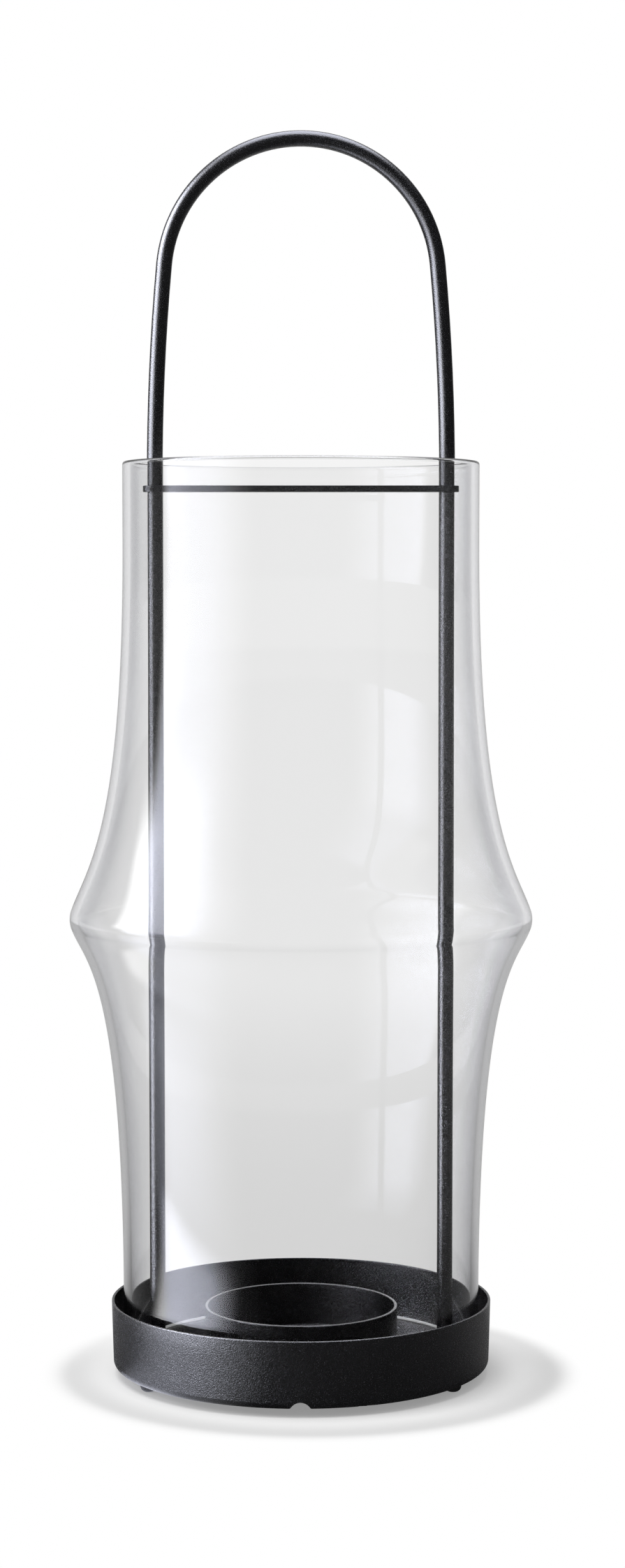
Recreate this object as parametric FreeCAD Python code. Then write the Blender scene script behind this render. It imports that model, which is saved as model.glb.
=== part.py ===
"""Hurricane candle lantern, in millimetres.

A bellied glass chimney stands loose in a low sheet-steel tray.  Two rod legs rise from the tray
inside the glass to a flat crossbar just below the glass rim, the bent-rod handle goes on from
there as one line with them, and a short drawn cup in the middle of the tray holds a pillar candle.

Frame: the origin is on the tray's axis at the height of the feet's soles, +Z is up, -Y is the
front, where the drain notch is, and the legs stand on the X axis.
"""
import FreeCAD, Part
import math
import os

Vector = FreeCAD.Vector
UP = Vector(0, 0, 1)

# Candle and its cup
candle_diameter = 70.0
candle_clearance = 0.5          # all round the candle
cup_sheet = 1.2
cup_height = 18.2
cup_corner = 2.2                # outer radius where the cup's wall turns into its base

# Glass chimney
chimney_height = 338.4
chimney_wall = 3.0
chimney_foot_radius = 67.6      # outer, at the bottom
chimney_neck_radius = 67.0      # outer, at the rim
belly_radius = 87.5             # outer, at the crest of the belly
belly_height = 166.3            # crest, above the glass's foot
crest_radius = 10.0             # outer radius that rounds the crest
flare_angle = 20.0              # lean of both flares where they meet the crest, degrees
lower_straight = 18.6           # straight wall above the foot
upper_straight = 29.8           # straight wall below the rim
lower_flare_reach = 127.0       # how far each flare follows the straight wall before it opens
upper_flare_reach = 108.0
lower_crest_reach = 13.5        # how far each flare keeps its lean away from the crest
upper_crest_reach = 17.0
edge_polish = 1.0               # fire-polished edges at rim and foot

# Tray
tray_sheet = 1.0
tray_draft = 1.6                # degrees the wall opens upward
tray_height = 25.2              # from its lower edge to its rim
tray_lip = 2.5                  # outer radius of the rolled-in lower edge
tray_rim_round = 0.35
chimney_play = 3.0              # between the glass's foot and the tray's wall
floor_sheet = 1.2
floor_recess = 3.3              # floor plate's underside above the tray's lower edge
floor_weld_gap = 0.05           # between the floor plate and the wall
notch_radius = 4.0
notch_height = 2.8
notch_flare = 1.3               # radius that opens the notch's two lower corners

# Handle and crossbar
rod_diameter = 6.0
handle_headroom = 117.1         # clear height from the glass rim to the underside of the arch
leg_splay = 3.5                 # how much further out the legs stand than the arch's end
bar_thickness = 2.4
bar_width = 9.6
bar_below_rim = 9.0             # bar's top face under the glass rim
bar_clearance = 4.3             # between the bar's ends and the glass
bar_edge_round = 0.3
leg_straight_above_bar = 2.0
weld_clearance = 0.05           # all round a rod in the bar's hole

# Screws that hold the legs down, from under the floor plate
screw_diameter = 3.0
screw_bore_clearance = 0.05
screw_hole_clearance = 0.2
screw_bite = 8.0                # length of screw inside the rod
screw_bore_spare = 2.0
screw_head_diameter = 5.7
screw_head_height = 1.7
screw_key_flats = 2.0
screw_key_depth = 1.0
washer_diameter = 9.0
washer_thickness = 0.8

# Feet
foot_diameter = 6.4
foot_stand = 3.0                # how far the feet lift the tray's lower edge
foot_round = 2.2
foot_lip_clearance = 0.5
front_foot_angle = 60.0         # degrees from the front to each front foot

# Heights
tray_base_z = foot_stand
tray_rim_z = tray_base_z + tray_height
floor_under_z = tray_base_z + floor_recess
floor_top_z = floor_under_z + floor_sheet
chimney_rim_z = floor_top_z + chimney_height
belly_z = floor_top_z + belly_height
bar_top_z = chimney_rim_z - bar_below_rim
bar_under_z = bar_top_z - bar_thickness
rod_seam_z = bar_under_z + bar_thickness / 2    # hoop and legs butt inside the bar's holes

# Radii and places that follow from what has to fit
rod_radius = rod_diameter / 2
cup_inner_radius = candle_diameter / 2 + candle_clearance
cup_outer_radius = cup_inner_radius + cup_sheet
chimney_bore_radius = chimney_neck_radius - chimney_wall
bar_half_length = chimney_bore_radius - bar_clearance
leg_x = bar_half_length - bar_width / 2
arch_radius = leg_x - leg_splay
arch_centre_z = chimney_rim_z + handle_headroom + rod_radius - arch_radius
draft_slope = math.tan(math.radians(tray_draft))
wall_across = tray_sheet / math.cos(math.radians(tray_draft))
tray_wall_inside_at_floor = chimney_foot_radius + chimney_play


def wall_outside(z):
    """Outer radius of the tray's wall at height z."""
    return tray_wall_inside_at_floor + wall_across + (z - floor_top_z) * draft_slope


def wall_inside(z):
    """Inner radius of the tray's wall at height z."""
    return wall_outside(z) - wall_across


def at(radius, z):
    """A point of a turned profile, in the XZ plane."""
    return Vector(radius, 0, z)


def line(a, b):
    return Part.LineSegment(a, b).toShape()


def arc(centre, radius, start, end):
    """Arc in the XZ plane about centre, between two angles in degrees from +X towards +Z."""
    def on(angle):
        turn = math.radians(angle)
        return centre + Vector(math.cos(turn), 0, math.sin(turn)) * radius
    return Part.Arc(on(start), on((start + end) / 2), on(end)).toShape()


def turned(edges):
    """Solid of revolution of a closed profile about the Z axis."""
    return Part.Face(Part.Wire(Part.__sortEdges__(edges))).revolve(Vector(), UP, 360)


def cylinder(radius, low, high, x=0, y=0):
    return Part.makeCylinder(radius, high - low, Vector(x, y, low))


def circles_at(solid, z):
    """Circular edges of a turned solid that lie at height z."""
    return [edge for edge in solid.Edges
            if abs(edge.BoundBox.ZMin - z) < 1e-4 and abs(edge.BoundBox.ZMax - z) < 1e-4]


def notch_cutter():
    """Half-round drain notch with flared corners, driven through the wall at the front."""
    top_centre = at(0, tray_base_z + notch_height - notch_radius)
    flare_z = tray_base_z + notch_flare
    rise = flare_z - top_centre.z
    flare_x = math.sqrt((notch_radius + notch_flare) ** 2 - rise ** 2)
    lean = math.degrees(math.atan2(rise, flare_x))
    below = tray_base_z - notch_flare
    left, right = at(-flare_x, tray_base_z), at(flare_x, tray_base_z)
    outline = Part.Wire([
        arc(top_centre, notch_radius, lean, 180 - lean),
        arc(at(-flare_x, flare_z), notch_flare, -lean, -90),
        line(left, at(-flare_x, below)),
        line(at(-flare_x, below), at(flare_x, below)),
        line(at(flare_x, below), right),
        arc(at(flare_x, flare_z), notch_flare, -90, lean - 180)])
    reach = wall_outside(tray_rim_z)
    return Part.Face(outline).extrude(Vector(0, -reach, 0))


def tray_wall():
    """Drafted ring with a rolled-in lower edge, a softened rim and the drain notch."""
    bend_z = tray_base_z + tray_lip
    bend_x = wall_outside(bend_z) - tray_lip
    bend = at(bend_x, bend_z)
    inner_bend = tray_lip - tray_sheet
    edges = [
        line(at(wall_outside(bend_z), bend_z), at(wall_outside(tray_rim_z), tray_rim_z)),
        line(at(wall_outside(tray_rim_z), tray_rim_z), at(wall_inside(tray_rim_z), tray_rim_z)),
        line(at(wall_inside(tray_rim_z), tray_rim_z), at(bend_x + inner_bend, bend_z)),
        arc(bend, inner_bend, 0, -90),
        line(at(bend_x, tray_base_z + tray_sheet), at(bend_x, tray_base_z)),
        arc(bend, tray_lip, -90, 0)]
    ring = turned(edges)
    ring = ring.makeFillet(tray_rim_round, circles_at(ring, tray_rim_z))
    return ring.cut(notch_cutter())


def floor_plate():
    """Disc welded inside the wall, with a hole under each leg of the handle."""
    plate = cylinder(wall_inside(floor_under_z) - floor_weld_gap, floor_under_z, floor_top_z)
    for x in (-leg_x, leg_x):
        hole = screw_diameter / 2 + screw_hole_clearance
        plate = plate.cut(cylinder(hole, floor_under_z, floor_top_z, x))
    return plate


def candle_cup():
    """Drawn cup, spot-welded to the middle of the floor plate."""
    rim_z = floor_top_z + cup_height
    inner_corner = cup_corner - cup_sheet
    corner = at(cup_outer_radius - cup_corner, floor_top_z + cup_corner)
    edges = [
        line(at(0, floor_top_z), at(corner.x, floor_top_z)),
        arc(corner, cup_corner, -90, 0),
        line(at(cup_outer_radius, corner.z), at(cup_outer_radius, rim_z)),
        line(at(cup_outer_radius, rim_z), at(cup_inner_radius, rim_z)),
        line(at(cup_inner_radius, rim_z), at(cup_inner_radius, corner.z)),
        arc(corner, inner_corner, 0, -90),
        line(at(corner.x, floor_top_z + cup_sheet), at(0, floor_top_z + cup_sheet)),
        line(at(0, floor_top_z + cup_sheet), at(0, floor_top_z))]
    cup = turned(edges)
    return cup.makeFillet(cup_sheet / 3, circles_at(cup, rim_z))


def handle_leg(x):
    """Straight rod from the floor plate up into the crossbar, bored for its screw."""
    bore_top = floor_top_z + screw_bite + screw_bore_spare
    bore = cylinder(screw_diameter / 2 + screw_bore_clearance, floor_top_z, bore_top, x)
    return cylinder(rod_radius, floor_top_z, rod_seam_z, x).cut(bore)


def handle():
    """Bent hoop: it rises from the bar, leans in a little and closes in a round arch."""
    straight_top = bar_top_z + leg_straight_above_bar
    rise = arch_centre_z - straight_top
    lean_radius = (leg_x ** 2 + rise ** 2 - arch_radius ** 2) / (2 * leg_splay)
    lean = math.degrees(math.atan2(rise, lean_radius - leg_x))
    path = Part.Wire([
        line(at(leg_x, rod_seam_z), at(leg_x, straight_top)),
        arc(at(leg_x - lean_radius, straight_top), lean_radius, 0, lean),
        arc(at(0, arch_centre_z), arch_radius, lean, 180 - lean),
        arc(at(lean_radius - leg_x, straight_top), lean_radius, 180 - lean, 180),
        line(at(-leg_x, straight_top), at(-leg_x, rod_seam_z))])
    section = Part.Wire(Part.makeCircle(rod_radius, at(leg_x, rod_seam_z), UP))
    return path.makePipeShell([section], True, False)


def crossbar():
    """Flat strap with round ends, whose holes hold the welds between the legs and the handle."""
    half = bar_width / 2
    strap = Part.makeBox(2 * leg_x, bar_width, bar_thickness, Vector(-leg_x, -half, bar_under_z))
    for x in (-leg_x, leg_x):
        strap = strap.fuse(cylinder(half, bar_under_z, bar_top_z, x))
    strap = strap.removeSplitter()
    outline = [edge for z in (bar_under_z, bar_top_z) for edge in circles_at(strap, z)]
    strap = strap.makeFillet(bar_edge_round, outline)
    for x in (-leg_x, leg_x):
        strap = strap.cut(cylinder(rod_radius + weld_clearance, bar_under_z, bar_top_z, x))
    return strap


def chimney_side(inset):
    """One side of the glass's wall, foot to rim, moved in from the outer face by inset.

    Each flare is a cubic curve that leaves the straight wall upright and meets the round crest
    at the flare's angle, so the side has no corner anywhere.
    """
    lean = math.radians(flare_angle)
    crest = at(belly_radius - crest_radius, belly_z)
    foot_x, neck_x = chimney_foot_radius - inset, chimney_neck_radius - inset
    low_z = floor_top_z + lower_straight
    high_z = chimney_rim_z - upper_straight

    def flare(straight_end, straight_reach, side, crest_reach):
        away = Vector(math.cos(lean), 0, side * math.sin(lean))
        along = Vector(-math.sin(lean), 0, side * math.cos(lean))
        meet = crest + away * (crest_radius - inset)
        curve = Part.BezierCurve()
        curve.setPoles([straight_end, straight_end - UP * side * straight_reach,
                        meet + along * crest_reach, meet])
        return curve.toShape()

    return [
        line(at(foot_x, floor_top_z), at(foot_x, low_z)),
        flare(at(foot_x, low_z), lower_flare_reach, -1, lower_crest_reach),
        arc(crest, crest_radius - inset, -flare_angle, flare_angle),
        flare(at(neck_x, high_z), upper_flare_reach, 1, upper_crest_reach),
        line(at(neck_x, high_z), at(neck_x, chimney_rim_z))]


def glass_chimney():
    """Open-ended blown chimney of even wall, with fire-polished edges."""
    foot = line(at(chimney_foot_radius, floor_top_z),
                at(chimney_foot_radius - chimney_wall, floor_top_z))
    rim = line(at(chimney_neck_radius, chimney_rim_z),
               at(chimney_bore_radius, chimney_rim_z))
    glass = turned(chimney_side(0) + [rim] + chimney_side(chimney_wall) + [foot])
    ends = circles_at(glass, floor_top_z) + circles_at(glass, chimney_rim_z)
    return glass.makeFillet(edge_polish, ends)


def screw(x):
    """Button-head socket screw, driven up through the floor plate into a leg."""
    head_top = floor_under_z - washer_thickness
    head_under = head_top - screw_head_height
    head = cylinder(screw_head_diameter / 2, head_under, head_top)
    head = head.makeFillet(screw_head_height * 0.6, circles_at(head, head_under))
    key_circle = screw_key_flats / math.sqrt(3)
    corners = [Vector(key_circle * math.cos(math.radians(60 * i)),
                      key_circle * math.sin(math.radians(60 * i)), head_under) for i in range(6)]
    key = Part.Face(Part.makePolygon(corners + corners[:1])).extrude(UP * screw_key_depth)
    shank = cylinder(screw_diameter / 2, head_top, floor_top_z + screw_bite)
    whole = head.fuse(shank).cut(key)
    whole.translate(Vector(x, 0, 0))
    return whole


def washer(x):
    low = floor_under_z - washer_thickness
    disc = cylinder(washer_diameter / 2, low, floor_under_z, x)
    bore = cylinder(screw_diameter / 2 + screw_hole_clearance, low, floor_under_z, x)
    return disc.cut(bore)


def foot(angle):
    """Rubber stud under the floor plate; its rounded end stands proud of the tray's edge."""
    lip_inside = wall_outside(tray_base_z + tray_lip) - tray_lip
    circle = lip_inside - foot_lip_clearance - foot_diameter / 2
    turn = math.radians(angle)
    stud = cylinder(foot_diameter / 2, 0, floor_under_z)
    stud = stud.makeFillet(foot_round, circles_at(stud, 0))
    stud.translate(Vector(circle * math.sin(turn), -circle * math.cos(turn), 0))
    return stud


def pieces():
    """Every sub-part of the lantern, by node name."""
    made = {
        "tray_wall": tray_wall(),
        "floor_plate": floor_plate(),
        "candle_cup": candle_cup(),
        "handle": handle(),
        "crossbar": crossbar(),
        "glass_chimney": glass_chimney()}
    for side, x in (("left", -leg_x), ("right", leg_x)):
        made["leg_" + side] = handle_leg(x)
        made["leg_screw_" + side] = screw(x)
        made["leg_washer_" + side] = washer(x)
    feet = {"left": -front_foot_angle, "right": front_foot_angle, "rear": 180.0}
    for name, angle in feet.items():
        made["foot_" + name] = foot(angle)
    return made


os.makedirs("parts", exist_ok=True)
for node, shape in pieces().items():
    if not shape.isValid():
        raise RuntimeError(node + " is not a valid solid")
    solid = shape.Solids[0] if len(shape.Solids) == 1 else shape
    solid.exportStep(os.path.join("parts", node + ".step"))
    box = solid.BoundBox
    print(f"{node:18} solids {len(shape.Solids)}  volume {shape.Volume:10.1f}"
          f"  z {box.ZMin:7.2f} to {box.ZMax:7.2f}  x {box.XMin:7.2f} to {box.XMax:7.2f}")
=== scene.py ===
"""Looks of the hurricane candle lantern: powder-coated steel, clear glass, and a white studio."""

import math

import bpy
import numpy as np
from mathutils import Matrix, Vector


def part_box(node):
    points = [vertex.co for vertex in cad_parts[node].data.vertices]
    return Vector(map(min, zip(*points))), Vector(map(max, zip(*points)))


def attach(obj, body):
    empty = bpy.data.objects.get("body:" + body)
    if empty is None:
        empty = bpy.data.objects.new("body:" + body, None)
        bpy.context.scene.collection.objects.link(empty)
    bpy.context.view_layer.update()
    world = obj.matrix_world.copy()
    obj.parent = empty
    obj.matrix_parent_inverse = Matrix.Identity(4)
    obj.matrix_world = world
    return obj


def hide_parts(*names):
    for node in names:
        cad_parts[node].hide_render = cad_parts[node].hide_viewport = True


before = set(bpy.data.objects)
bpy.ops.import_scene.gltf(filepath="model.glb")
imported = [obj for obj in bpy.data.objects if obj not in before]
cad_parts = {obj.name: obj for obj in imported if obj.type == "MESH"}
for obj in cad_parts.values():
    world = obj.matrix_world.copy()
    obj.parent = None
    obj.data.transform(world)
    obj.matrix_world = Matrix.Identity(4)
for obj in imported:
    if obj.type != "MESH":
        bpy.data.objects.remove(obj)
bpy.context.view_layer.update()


# ---------------------------------------------------------------- shader building

class Value:
    """A node's output; arithmetic on it adds Math nodes to the same tree."""

    def __init__(self, tree, socket):
        self.tree, self.socket = tree, socket

    def math(self, operation, *others):
        settings = {"operation": operation}
        inputs = dict(enumerate((self,) + others))
        return self.tree.node("ShaderNodeMath", settings, inputs)[0]

    def __add__(self, other):
        return self.math("ADD", other)

    def __sub__(self, other):
        return self.math("SUBTRACT", other)

    def __rsub__(self, other):
        return (self * -1.0) + other

    def __mul__(self, other):
        return self.math("MULTIPLY", other)

    def __abs__(self):
        return self.math("ABSOLUTE")

    __radd__, __rmul__ = __add__, __mul__

    def step(self, edge, start=0.0, end=1.0):
        """Smooth change from start to end as the value crosses the soft edge (from, to)."""
        settings = {"interpolation_type": "SMOOTHSTEP"}
        inputs = {"Value": self, "From Min": edge[0], "From Max": edge[1],
                  "To Min": start, "To Max": end}
        return self.tree.node("ShaderNodeMapRange", settings, inputs)[0]

    def fall(self, edge):
        """1 before the soft edge and 0 after it."""
        return self.step(edge, 1.0, 0.0)

    def between(self, rising, falling):
        """1 between two soft edges and 0 outside them."""
        return self.step(rising) * self.fall(falling)


class Tree:
    """A shader node tree that is built from code."""

    def __init__(self, owner):
        owner.use_nodes = True
        self.nodes, self.links = owner.node_tree.nodes, owner.node_tree.links
        self.nodes.clear()

    def node(self, kind, settings=None, inputs=None):
        """Adds a node, sets it up, then sets or links its sockets; returns its outputs."""
        made = self.nodes.new(kind)
        for key, value in (settings or {}).items():
            setattr(made, key, value)
        for key, value in (inputs or {}).items():
            if isinstance(value, Value):
                self.links.new(value.socket, made.inputs[key])
            else:
                made.inputs[key].default_value = value
        return Outputs(self, made)

    def mix(self, share, first, second):
        """Colour that goes from first to second as share goes from 0 to 1."""
        inputs = {0: share, 6: first, 7: second}
        return self.node("ShaderNodeMix", {"data_type": "RGBA"}, inputs)[2]

    def mix_shaders(self, share, first, second):
        """Shader that goes from first to second as share goes from 0 to 1."""
        return self.node("ShaderNodeMixShader", {}, {0: share, 1: first, 2: second})[0]

    def glow(self, colour, strength):
        """Shader that shines of its own and takes no light."""
        return self.node("ShaderNodeEmission", {}, {"Color": colour, "Strength": strength})[0]

    def length(self, vector):
        return self.node("ShaderNodeVectorMath", {"operation": "LENGTH"}, {0: vector})["Value"]

    def axes(self, vector):
        return self.node("ShaderNodeSeparateXYZ", {}, {"Vector": vector})

    def facing(self):
        """0 where a surface is seen straight on, 1 where it is seen edge-on."""
        return self.node("ShaderNodeLayerWeight", {}, {"Blend": 0.5})["Facing"]

    def bump(self, height, distance, strength=1.0):
        inputs = {"Strength": strength, "Distance": distance, "Height": height}
        return self.node("ShaderNodeBump", {}, inputs)[0]


class Outputs:
    """A node's outputs by place or by name."""

    def __init__(self, tree, made):
        self.tree, self.made = tree, made

    def __getitem__(self, key):
        return Value(self.tree, self.made.outputs[key])


def grey(level):
    return (level, level, level, 1.0)


def noise(tree, place, scale, detail=2.0, roughness=0.5):
    """Noise from 0 to 1, with scale in lumps per metre."""
    inputs = {"Vector": place, "Scale": scale, "Detail": detail, "Roughness": roughness}
    return tree.node("ShaderNodeTexNoise", {}, inputs)["Fac"]


def new_finish(name):
    """A new material, its empty tree, and the place on the object in metres."""
    material = bpy.data.materials.new(name)
    tree = Tree(material)
    place = tree.node("ShaderNodeTexCoord")["Object"]
    return material, tree, place


def close(material, tree, shader):
    """Ends the material's tree with its shader."""
    tree.node("ShaderNodeOutputMaterial", {}, {"Surface": shader})
    return material


def principled(tree, inputs):
    return tree.node("ShaderNodeBsdfPrincipled", {}, inputs)[0]


# ---------------------------------------------------------------- powder coat

tray_grain = {"grain_size": 0.00046, "grain_height": 0.00008}
rod_grain = {"grain_size": 0.00045, "grain_height": 0.00004}
tray_gloss = 0.78
cup_gloss = 0.66
rod_gloss = 0.62
leg_gloss = 1.0
coat_ior = 1.62
coat_roughness = 0.23
coat_black, coat_faded = (0.0045, 0.0045, 0.0052, 1.0), (0.0075, 0.0074, 0.0086, 1.0)
patch_scale, patch_edge, patch_dulling = 22.0, (0.3, 0.7), 0.04
pit_rate, pit_edge, pit_depth = 1.9, (0.35, 0.60), 0.25         # rates and depth: grains = 1
speck_rate, speck_edge, speck_dulling = 1.3, (0.60, 0.70), 0.10
speck_colour, speck_cover = (0.036, 0.036, 0.040, 1.0), 0.5
# Grey line round the cup's rim: partly a rubbed bare edge, partly a painted highlight
rim_wear_and_highlight_depth = 0.0003                   # from the rim down
rim_wear_and_highlight_grey = (0.16, 0.16, 0.17, 1.0)


def powder_coat(name, grain_size, grain_height, gloss, rim_wear_and_highlight_z=None):
    """Black powder coat: sandy grains, sharper pits and dull specks.

    Where a rim height is given, the rim there is grey: partly a rubbed bare edge, partly a painted
    highlight.
    """
    material, tree, place = new_finish(name)
    grains = noise(tree, place, 1.0 / grain_size, detail=0.0)
    pits = noise(tree, place, pit_rate / grain_size, detail=0.0).step(pit_edge)
    patches = noise(tree, place, patch_scale)
    specks = noise(tree, place, speck_rate / grain_size, detail=1.0).step(speck_edge)
    colour = tree.mix(patches.step(patch_edge), coat_black, coat_faded)
    colour = tree.mix(specks * speck_cover, colour, speck_colour)
    # Painted highlight along the rim, which also stands for a rubbed bare edge
    if rim_wear_and_highlight_z is not None:
        rim_wear_and_highlight = tree.axes(place)["Z"].step((rim_wear_and_highlight_z - rim_wear_and_highlight_depth, rim_wear_and_highlight_z - rim_wear_and_highlight_depth / 2))
        colour = tree.mix(rim_wear_and_highlight, colour, rim_wear_and_highlight_grey)
    return close(material, tree, principled(tree, {
        "Base Color": colour,
        "Roughness": patches * patch_dulling + specks * speck_dulling + coat_roughness,
        "IOR": coat_ior,
        "Specular IOR Level": gloss,
        "Normal": tree.bump(grains + pits * pit_depth, grain_height)}))


# ---------------------------------------------------------------- zinc and rubber

zinc_dark, zinc_bright = (0.36, 0.37, 0.39, 1.0), (0.55, 0.56, 0.57, 1.0)
zinc_cloud_scale, zinc_grain_scale = 420.0, 2600.0
zinc_roughness, zinc_cloud_dulling = 0.25, 0.2
zinc_grain_height, zinc_grain_strength = 0.00005, 0.5

rubber_black, rubber_dust = (0.012, 0.012, 0.013, 1.0), (0.045, 0.044, 0.042, 1.0)
rubber_dust_scale, rubber_skin_scale = 700.0, 3200.0
rubber_dust_edge, rubber_dust_cover = (0.5, 0.8), 0.6
rubber_roughness, rubber_dust_dulling = 0.7, 0.15
rubber_skin_height, rubber_skin_strength = 0.0001, 0.6


def zinc_plate():
    """Bright zinc on turned steel, a little cloudy and finely grained."""
    material, tree, place = new_finish("zinc_plate")
    cloud = noise(tree, place, zinc_cloud_scale, detail=3.0)
    grain = noise(tree, place, zinc_grain_scale)
    return close(material, tree, principled(tree, {
        "Base Color": tree.mix(cloud, zinc_dark, zinc_bright),
        "Metallic": 1.0,
        "Roughness": cloud * zinc_cloud_dulling + zinc_roughness,
        "Normal": tree.bump(grain, zinc_grain_height, zinc_grain_strength)}))


def foot_rubber():
    """Matt black rubber with a fine moulded skin and grey dust."""
    material, tree, place = new_finish("foot_rubber_skin")
    skin = noise(tree, place, rubber_skin_scale)
    dust = noise(tree, place, rubber_dust_scale, detail=3.0, roughness=0.7).step(rubber_dust_edge)
    return close(material, tree, principled(tree, {
        "Base Color": tree.mix(dust * rubber_dust_cover, rubber_black, rubber_dust),
        "Roughness": dust * rubber_dust_dulling + rubber_roughness,
        "Normal": tree.bump(skin, rubber_skin_height, rubber_skin_strength)}))


# ---------------------------------------------------------------- clear glass

glass_ior = 1.5
glass_shine = grey(0.20)
glass_straight_on, glass_edge_on = grey(0.92), (0.83, 0.835, 0.875, 1.0)
glass_turning_away = (0.35, 0.95)
wave_scale, wave_height, wave_strength = 14.0, 0.002, 0.012
smudge_scale, smudge_edge, smudge_roughness = 32.0, (0.55, 0.8), 0.015
matt_foot_low, matt_foot_high = 0.0006, 0.0011                  # above the glass's foot
# The matt foot edge also glows of its own: painted light, though no lamp is there
matt_foot_cover, matt_foot_roughness, foot_painted_glow = 0.75, 0.6, 0.3
matt_foot_colour = (0.85, 0.87, 0.89, 1.0)


def clear_glass():
    """Clear blown glass: faint waves and smudges, a grey that deepens edge-on, a matt foot edge
    that glows with painted light.
    """
    material, tree, place = new_finish("chimney_glass")
    waves = noise(tree, place, wave_scale, detail=1.0)
    smudges = noise(tree, place, smudge_scale, detail=4.0, roughness=0.65).step(smudge_edge)
    clear = principled(tree, {
        "Base Color": tree.mix(tree.facing().step(glass_turning_away),
                               glass_straight_on, glass_edge_on),
        "Roughness": smudges * smudge_roughness,
        "IOR": glass_ior,
        "Specular Tint": glass_shine,
        "Transmission Weight": 1.0,
        "Normal": tree.bump(waves, wave_height, wave_strength)})
    # Matt foot edge with a painted glow
    ground = principled(tree, {
        "Base Color": matt_foot_colour,
        "Roughness": matt_foot_roughness,
        "Emission Color": grey(1.0),
        "Emission Strength": foot_painted_glow})
    foot_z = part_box("glass_chimney")[0].z
    matt_edge = (foot_z + matt_foot_low, foot_z + matt_foot_high)
    matt = tree.axes(place)["Z"].step(matt_edge, matt_foot_cover, 0.0)
    return close(material, tree, tree.mix_shaders(matt, clear, ground))


# ---------------------------------------------------------------- surfaces from formulas

def mesh_object(name, points, quads):
    """Smooth mesh of the points and the rows of four point numbers, linked to the scene."""
    mesh = bpy.data.meshes.new(name)
    mesh.vertices.add(len(points))
    mesh.vertices.foreach_set("co", points.astype(np.float32).ravel())
    mesh.loops.add(quads.size)
    mesh.loops.foreach_set("vertex_index", quads.astype(np.int32).ravel())
    mesh.polygons.add(len(quads))
    mesh.polygons.foreach_set("loop_start", np.arange(0, quads.size, 4, dtype=np.int32))
    mesh.update(calc_edges=True)
    mesh.polygons.foreach_set("use_smooth", np.ones(len(quads), bool))
    mesh.update()
    made = bpy.data.objects.new(name, mesh)
    bpy.context.scene.collection.objects.link(made)
    return made


def arc_points(centre, radius, start, end, count):
    """Points (r, z) on an arc about centre from angle start to end, in degrees."""
    turn = np.radians(np.linspace(start, end, count))
    return np.column_stack([centre[0] + radius * np.cos(turn), centre[1] + radius * np.sin(turn)])


def cubic_points(poles, count):
    """Points of the cubic curve sum B_i(t) P_i over t from 0 to 1, B_i the Bernstein weights."""
    t = np.linspace(0.0, 1.0, count)[:, None]
    p = np.array(poles, float)
    return ((1 - t) ** 3 * p[0] + 3 * (1 - t) ** 2 * t * p[1]
            + 3 * (1 - t) * t ** 2 * p[2] + t ** 3 * p[3])


def turned_ring(name, profile, segments):
    """Closed ring: the closed profile (r, z) turned about Z, x = r cos a, y = r sin a."""
    turn = np.linspace(0.0, 2 * np.pi, segments, endpoint=False)
    r, z = profile[:, 0], profile[:, 1]
    points = np.stack([np.outer(np.cos(turn), r), np.outer(np.sin(turn), r),
                       np.tile(z, (segments, 1))], axis=-1).reshape(-1, 3)
    rows = len(profile)
    i, j = np.meshgrid(np.arange(segments), np.arange(rows), indexing="ij")
    i2, j2 = (i + 1) % segments, (j + 1) % rows
    quads = np.stack([i * rows + j, i2 * rows + j, i2 * rows + j2, i * rows + j2], axis=-1)
    return mesh_object(name, points, quads.reshape(-1, 4))


disc_segments = 96
disc_rings = (1e-4, 0.1, 0.4, 1.0)      # shares of the radius


def turned_disc(name, radius, z=0.0):
    """Flat disc at height z: rings (s r cos a, s r sin a, z) for each share s, joined by quads."""
    turn = np.linspace(0.0, 2 * np.pi, disc_segments, endpoint=False)
    circle = np.column_stack([np.cos(turn), np.sin(turn), np.zeros(disc_segments)]) * radius
    points = np.vstack([circle * share + (0.0, 0.0, z) for share in disc_rings])
    ring, i = np.meshgrid(np.arange(len(disc_rings) - 1), np.arange(disc_segments), indexing="ij")
    near, far = ring * disc_segments, (ring + 1) * disc_segments
    i2 = (i + 1) % disc_segments
    quads = np.stack([near + i, far + i, far + i2, near + i2], axis=-1)
    return mesh_object(name, points, quads.reshape(-1, 4))


# ---------------------------------------------------------------- glass chimney

glass_wall = 0.003
glass_foot_radius = 0.0676
glass_neck_radius = 0.0670
crest_height = 0.1663                   # above the glass's foot
crest_radius = 0.010
flare_lean = math.radians(20.0)
lower_straight, upper_straight = 0.0186, 0.0298
lower_flare_reach, upper_flare_reach = 0.127, 0.108
lower_crest_reach, upper_crest_reach = 0.0135, 0.017
edge_polish = 0.00115
glass_segments = 288
flare_points, crest_points, edge_points, upright_points = 70, 17, 7, 14


def upright(x, low, high):
    """Points up a straight wall at shares (1 - cos u) / 2 of it, without its two ends."""
    share = 0.5 - 0.5 * np.cos(np.linspace(0.0, np.pi, upright_points))[1:-1]
    return np.column_stack([np.full(len(share), x), low + (high - low) * share])


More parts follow.
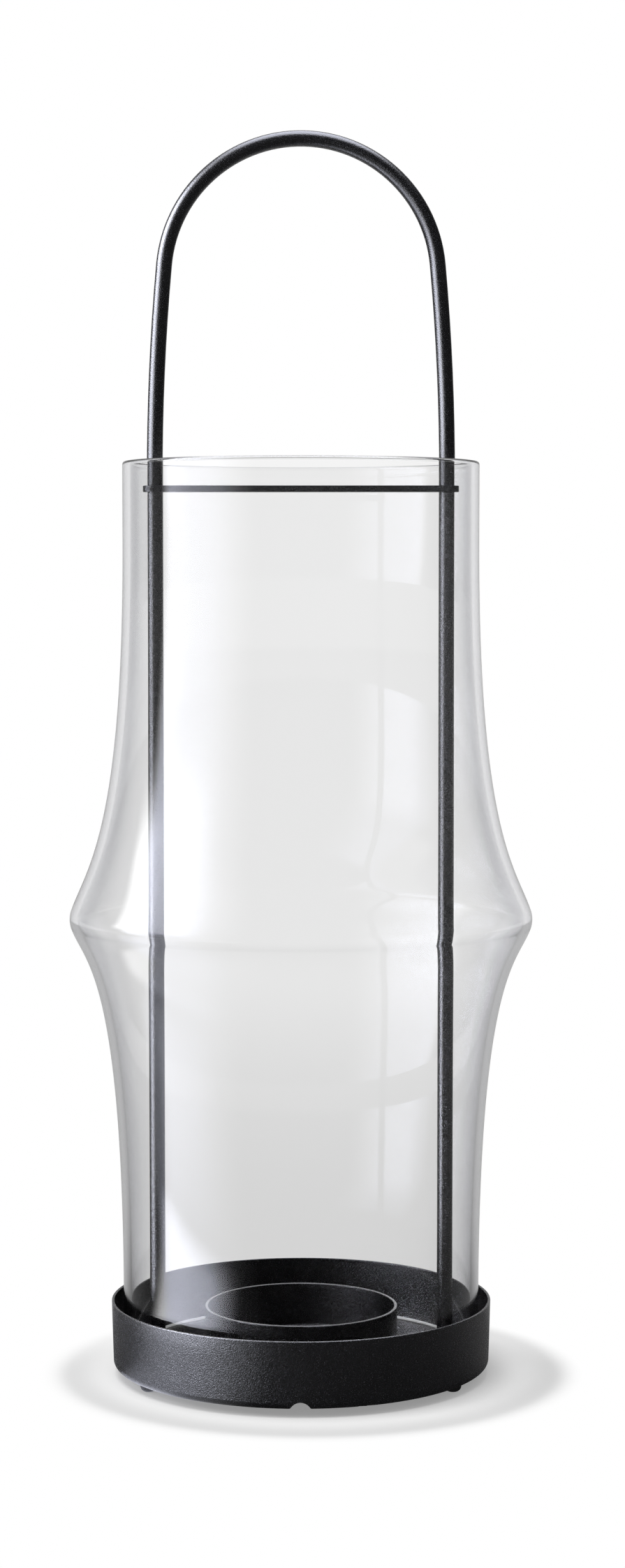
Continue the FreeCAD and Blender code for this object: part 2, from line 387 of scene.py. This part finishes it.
def glass_profile():
    """Closed profile of the chimney's wall: outer side up, rim, inner side down, foot.

    Each side is straight, flares on a cubic, rounds the crest on an arc and flares back.
    """
    low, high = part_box("glass_chimney")
    foot_z, rim_z, belly_radius = low.z, high.z, high.x
    crest = np.array([belly_radius - crest_radius, foot_z + crest_height])
    lean = math.degrees(flare_lean)

    def side(inset):
        """One face of the wall from foot to rim, inset from the outer face."""
        foot_x, neck_x = glass_foot_radius - inset, glass_neck_radius - inset

        def flare(end, reach, way, crest_reach):
            """Cubic from the end of a straight wall to the crest's arc, smooth at both."""
            away = np.array([math.cos(flare_lean), way * math.sin(flare_lean)])
            along = np.array([-math.sin(flare_lean), way * math.cos(flare_lean)])
            meet = crest + away * (crest_radius - inset)
            poles = [end, end - np.array([0.0, way * reach]), meet + along * crest_reach, meet]
            return cubic_points(poles, flare_points)

        lower = flare(np.array([foot_x, foot_z + lower_straight]), lower_flare_reach, -1,
                      lower_crest_reach)
        upper = flare(np.array([neck_x, rim_z - upper_straight]), upper_flare_reach, 1,
                      upper_crest_reach)
        round_crest = arc_points(crest, crest_radius - inset, -lean, lean, crest_points)
        low_wall = upright(foot_x, foot_z + edge_polish, foot_z + lower_straight)
        high_wall = upright(neck_x, rim_z - upper_straight, rim_z - edge_polish)
        return np.vstack([low_wall, lower, round_crest[1:-1], upper[::-1], high_wall])

    def edge(x, z, way):
        """Polished edge of the wall: a quarter arc on its outer side, then one on its inner."""
        z = z - way * edge_polish
        outer = arc_points((x - edge_polish, z), edge_polish, 0, way * 90, edge_points)
        inner = arc_points((x - glass_wall + edge_polish, z), edge_polish, way * 90, way * 180,
                           edge_points)
        return np.vstack([outer, inner])

    rim = edge(glass_neck_radius, rim_z, 1)
    foot = edge(glass_foot_radius, foot_z, -1)
    return np.vstack([side(0.0), rim, side(glass_wall)[::-1], foot[::-1]])


def glass_chimney():
    """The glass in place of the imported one, casting no shadow of its own."""
    made = turned_ring("chimney_glass", glass_profile(), glass_segments)
    made.data.materials.append(clear_glass())
    made.visible_shadow = False
    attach(made, "chimney")
    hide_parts("glass_chimney")


# ---------------------------------------------------------------- studio: what rays meet

cool_white = (0.93, 0.955, 1.10, 1.0)
in_degrees = 180.0 / math.pi


def light_path(tree):
    """Masks for rays that have met a matt, a mirroring or a see-through surface."""
    path = tree.node("ShaderNodeLightPath")
    met = {"bounced": "Diffuse Depth", "mirrored": "Glossy Depth", "passed": "Transmission Depth"}
    return {name: path[depth].math("GREATER_THAN", 0.5) for name, depth in met.items()}


def turn_from_front(axes):
    """Azimuth in degrees, 0 towards the front, negative to the left."""
    return axes["X"].math("ARCTAN2", axes["Y"] * -1.0) * in_degrees


# ---------------------------------------------------------------- studio: walls and panels

# Brightness, and the loss or gain of it once a ray has passed through glass
softbox_level, softbox_loss = 9.0, 0.40
window_level, window_loss = 12.0, 0.75
ceiling_level, ceiling_loss = 6.5, 0.8
behind_level, behind_gain = 0.45, 0.50
room_level = 0.03
room_edge_level = 0.12
ambient_level = 0.35

# Soft edges in degrees, azimuth for the sides and elevation for bottom and top
softbox_left, softbox_right = (-103.0, -93.0), (-64.0, -27.0)
softbox_bottom, softbox_top = (-16.0, -10.0), (36.0, 52.0)
softbox_foot, softbox_foot_left, softbox_foot_right = (-12.0, 4.0), 28.0, 16.0
window_left, window_right = (-111.0, -102.0), (-72.0, -45.0)
window_bottom, window_top = (4.0, 16.0), (30.0, 48.0)
ceiling_bottom = (50.0, 64.0)
behind_side = (132.0, 150.0)
backdrop_dims, backdrop_clears, backdrop_dimming = (138.0, 146.0), (148.0, 172.0), 0.5
horizon, horizon_level = (2.0, -14.0), 0.91


def studio_world():
    """White to the eye, and through glass dimmer in two strips beside the middle of the back.

    Mirroring surfaces see a soft panel and a window on the left, a ceiling and a dark room.
    """
    world = bpy.data.worlds.new("studio")
    bpy.context.scene.world = world
    tree = Tree(world)
    axes = tree.axes(tree.node("ShaderNodeTexCoord")["Generated"])
    azimuth = turn_from_front(axes)
    elevation = axes["Z"].math("ARCSINE") * in_degrees
    turn = abs(azimuth)
    path = light_path(tree)
    passed = path["passed"]

    at_foot = elevation.fall(softbox_foot)
    softbox = (azimuth - at_foot * softbox_foot_left).step(softbox_left) \
        * (azimuth - at_foot * softbox_foot_right).fall(softbox_right) \
        * elevation.between(softbox_bottom, softbox_top)
    window = azimuth.between(window_left, window_right) \
        * elevation.between(window_bottom, window_top)
    ceiling = elevation.step(ceiling_bottom)
    reflected = softbox * (1.0 - passed * softbox_loss) * softbox_level \
        + window * (1.0 - passed * window_loss) * window_level \
        + ceiling * (1.0 - passed * ceiling_loss) * ceiling_level \
        + turn.step(behind_side) * (passed * behind_gain + behind_level) + room_level

    backdrop = 1.0 - turn.between(backdrop_dims, backdrop_clears) * backdrop_dimming
    through = backdrop * (elevation.step(horizon, 1.0, horizon_level) - room_edge_level) \
        + room_edge_level
    sight = path["mirrored"] * reflected \
        + (1.0 - path["mirrored"]) * (passed * through + (1.0 - passed))
    level = (1.0 - path["bounced"]) * sight + path["bounced"] * ambient_level
    tint = tree.mix((softbox + ceiling) * path["mirrored"], grey(1.0), cool_white)
    shader = tree.node("ShaderNodeBackground", {}, {"Color": tint, "Strength": level})[0]
    tree.node("ShaderNodeOutputWorld", {}, {"Surface": shader})
    world.cycles.sampling_method = "NONE"


# ---------------------------------------------------------------- studio: floor

# Soft edges of azimuth in degrees, of reach from the middle in metres, of facing from 0 to 1
floor_radius = 1.6
far_floor_radius = 12.0
far_floor_drop = 0.001
floor_grey = grey(0.74)
floor_glow = 0.27
white_reach = (0.092, 0.104)            # the shadow's ground ends, pure white starts
glass_loss_reach, glass_loss_near, glass_loss_far = (0.15, 1.35), 0.20, 0.03
# The glass casts no shadow, so its ring of shade is painted into the floor
shade_middle = (0.004, -0.001, 0.0)     # the ring of shade under the glass's foot
shade_rises, shade_falls = (0.076, 0.091), (0.091, 0.101)
shade_side, shade_depth = (85.0, 125.0), 0.17

# The floor's own panels, which only mirroring surfaces see
dim_side, dim_front_level, dim_side_level = (60.0, 110.0), 0.02, 0.14
dim_back, dim_back_level = (120.0, 150.0), 0.4
left_skew, left_skew_reach = -20.0, (0.12, 0.40)
left_rises, left_falls = (-103.0, -95.0), (-66.0, -32.0)
left_reach, left_near_level, left_far_level = (0.22, 0.42), 0.8, 4.0
left_gain = 0.8                         # for rays that have passed through glass
left_corner, left_corner_level = (-96.0, -80.0), 0.3
left_slope, left_slope_level = (-100.0, -60.0), 0.7
veil_level, veil_loss = 20.0, 0.5
veil_corner, veil_slope, veil_falls = (-96.0, -84.0), (-110.0, -52.0), (-54.0, -32.0)
veil_facing_rises, veil_facing_falls = (0.748, 0.760), (0.7835, 0.7895)
veil_reach_rises, veil_reach_falls = (0.155, 0.172), (0.34, 0.38)
steep_level = 1.8
steep_facing, steep_reach = (0.42, 0.52), (0.27, 0.32)
steep_rises, steep_falls = (-112.0, -100.0), (-60.0, -35.0)


def mirrored_floor(tree, azimuth, reach, path):
    """Floor to mirroring surfaces: dim, bright on the left, with a low and a steep strip."""
    passed = path["passed"]
    facing = tree.facing()
    turn = abs(azimuth)
    dim = turn.step(dim_side, dim_front_level, dim_side_level) \
        + turn.step(dim_back, 0.0, dim_back_level)
    skewed = azimuth + reach.step(left_skew_reach, left_skew, 0.0)
    left = skewed.between(left_rises, left_falls)
    left_level = left * reach.step(left_reach, left_near_level, left_far_level) \
        * (1.0 + passed * left_gain) \
        * azimuth.step(left_corner, left_corner_level, 1.0) \
        * azimuth.step(left_slope, left_slope_level, 1.0)
    veil = azimuth.step(veil_corner) * azimuth.between(veil_slope, veil_falls) \
        * facing.between(veil_facing_rises, veil_facing_falls) \
        * reach.between(veil_reach_rises, veil_reach_falls) \
        * (1.0 - passed * veil_loss) * veil_level
    steep = facing.fall(steep_facing) * reach.fall(steep_reach) \
        * azimuth.between(steep_rises, steep_falls)
    return tree.glow(tree.mix(left, grey(1.0), cool_white),
                     dim + left_level + veil + steep * steep_level)


def seen_floor(tree, place, azimuth, reach, path):
    """Floor to the eye: matt near the object, with a painted ring of the glass's shade, then pure
    white.
    """
    matt = tree.node("ShaderNodeBsdfDiffuse", {}, {"Color": floor_grey})[0]
    near = tree.node("ShaderNodeAddShader", {}, {0: matt, 1: tree.glow(grey(1.0), floor_glow)})[0]
    from_middle = tree.node("ShaderNodeVectorMath", {"operation": "SUBTRACT"},
                            {0: place, 1: shade_middle})[0]
    spread = tree.length(from_middle)
    # Painted shade: a dark ring mixed in where the glass itself casts none
    shade = spread.between(shade_rises, shade_falls) * abs(azimuth).fall(shade_side)
    shaded = tree.mix_shaders(shade * shade_depth, near, tree.glow(grey(0.0), 0.0))
    loss = reach.step(glass_loss_reach, glass_loss_near, glass_loss_far)
    white = tree.glow(grey(1.0), 1.0 - path["passed"] * loss)
    by_eye = (1.0 - path["bounced"]) * (1.0 - path["mirrored"])
    return tree.mix_shaders(spread.step(white_reach) * by_eye, shaded, white)


def studio_floor():
    """White floor that keeps the soft shadow near the object and fades to pure white."""
    floor = turned_disc("studio_floor", floor_radius)
    material, tree, place = new_finish("studio_white")
    azimuth = turn_from_front(tree.axes(place))
    reach = tree.length(place)
    path = light_path(tree)
    both = tree.mix_shaders(path["mirrored"], seen_floor(tree, place, azimuth, reach, path),
                            mirrored_floor(tree, azimuth, reach, path))
    floor.data.materials.append(close(material, tree, both))


def far_floor():
    """White floor far out, met only by sight lines, so the glass stays clear from every side."""
    far = turned_disc("far_floor", far_floor_radius, -far_floor_drop)
    material, tree, _ = new_finish("far_white")
    white = tree.glow(grey(1.0), 1.0 - light_path(tree)["passed"] * glass_loss_far)
    far.data.materials.append(close(material, tree, white))
    far.visible_glossy = far.visible_diffuse = far.visible_shadow = False


# ---------------------------------------------------------------- studio: lamps and camera

camera_lens, camera_sensor = 73.35, 36.0
camera_place = (0.00435, -1.2055, 0.3043)
camera_dip = 3.784                      # degrees below level
camera_sees = 20.0


def lamp(name, place, target, size, power):
    """Square soft lamp that shines from place towards target."""
    light = bpy.data.lights.new(name, "AREA")
    light.size, light.energy = size, power
    made = bpy.data.objects.new(name, light)
    made.location = place
    made.rotation_euler = (Vector(target) - Vector(place)).to_track_quat("-Z", "Y").to_euler()
    made.visible_camera = made.visible_transmission = made.visible_glossy = False
    bpy.context.scene.collection.objects.link(made)


def studio_camera():
    """Level with the upper part of the glass, a long lens, tilted a little down."""
    data = bpy.data.cameras.new("camera")
    data.lens, data.sensor_width = camera_lens, camera_sensor
    data.clip_end = camera_sees
    made = bpy.data.objects.new("camera", data)
    made.location = camera_place
    made.rotation_euler = (math.radians(90.0 - camera_dip), 0.0, 0.0)
    bpy.context.scene.collection.objects.link(made)
    bpy.context.scene.camera = made


# ---------------------------------------------------------------- assembly

def dress_nodes():
    """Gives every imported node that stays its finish."""
    cup_rim_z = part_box("candle_cup")[1].z
    tray_coat = powder_coat("tray_coat", gloss=tray_gloss, **tray_grain)
    cup_coat = powder_coat("cup_coat", gloss=cup_gloss, rim_wear_and_highlight_z=cup_rim_z, **tray_grain)
    rod_coat = powder_coat("rod_coat", gloss=rod_gloss, **rod_grain)
    leg_coat = powder_coat("leg_coat", gloss=leg_gloss, **rod_grain)
    finishes = {tray_coat: ("tray_wall", "floor_plate"),
                cup_coat: ("candle_cup",),
                rod_coat: ("handle", "crossbar"),
                leg_coat: ("leg_left", "leg_right"),
                zinc_plate(): ("leg_screw_left", "leg_screw_right",
                               "leg_washer_left", "leg_washer_right"),
                foot_rubber(): ("foot_left", "foot_right", "foot_rear")}
    for finish, names in finishes.items():
        for name in names:
            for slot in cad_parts[name].material_slots:
                slot.material = finish


bpy.context.scene.view_settings.view_transform = "Standard"
dress_nodes()
glass_chimney()
studio_world()
studio_floor()
far_floor()
lamp("top_lamp", place=(-0.35, -0.25, 1.9), target=(0.0, 0.0, 0.1), size=1.3, power=20.0)
lamp("left_lamp", place=(-1.7, -0.6, 1.1), target=(0.0, 0.0, 0.15), size=0.9, power=10.0)
studio_camera()
